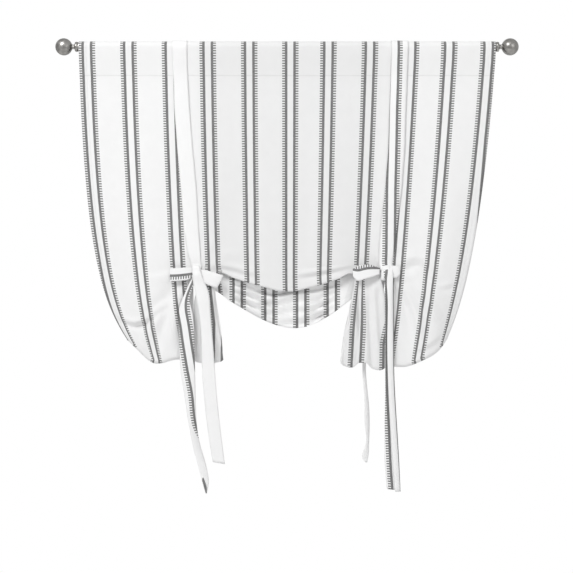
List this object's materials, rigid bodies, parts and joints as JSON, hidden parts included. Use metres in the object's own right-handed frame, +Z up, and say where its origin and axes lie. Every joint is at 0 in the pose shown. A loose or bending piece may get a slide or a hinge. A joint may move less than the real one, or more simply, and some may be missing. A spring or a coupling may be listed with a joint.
{
  "type": "tie-up curtain",
  "caption": "Window curtain panel on a ball-ended rod, its lower part rolled up and held by two ribbon ties in bows, with puffed side lobes and a swag between them.",
  "frame": {"origin": "on the rod's axis, at the middle of the rod's length", "axes": "+X along the rod to the right-hand finial as seen by a viewer in front, +Y from the front of the curtain towards the window, +Z up"},
  "size_m": [1.2534, 0.0839, 1.227],
  "materials": {
    "cloth": "plain-woven cotton, white with grey ticking stripes",
    "ribbon": "plain-woven cotton, white with grey ticking stripes on one face",
    "rod_metal": "satin",
    "finial_metal": "brushed pewter",
    "stud_steel": "plain",
    "plug": "moulded"
  },
  "bodies": {
    "hung_curtain": {"curtain_panel": "cloth", "left_tie": "ribbon", "right_tie": "ribbon", "outer_rod": "rod_metal", "left_end_plug": "plug", "left_finial_stud": "stud_steel"},
    "sliding_rod": {"inner_rod": "rod_metal", "right_end_plug": "plug", "right_finial_stud": "stud_steel"},
    "left_ball": {"left_finial": "finial_metal"},
    "right_ball": {"right_finial": "finial_metal"}
  },
  "joints": [
    {"name": "rod_extension", "type": "slide", "parent": "hung_curtain", "child": "sliding_rod", "axis": [1, 0, 0], "range_m": [0, 0.09]},
    {"name": "left_finial_screw", "type": "hinge", "parent": "hung_curtain", "child": "left_ball", "pos_m": [-0.5648, 0, 0], "axis": [1, 0, 0], "continuous": true},
    {"name": "right_finial_screw", "type": "hinge", "parent": "sliding_rod", "child": "right_ball", "pos_m": [0.5648, 0, 0], "axis": [1, 0, 0], "continuous": true}
  ]
}
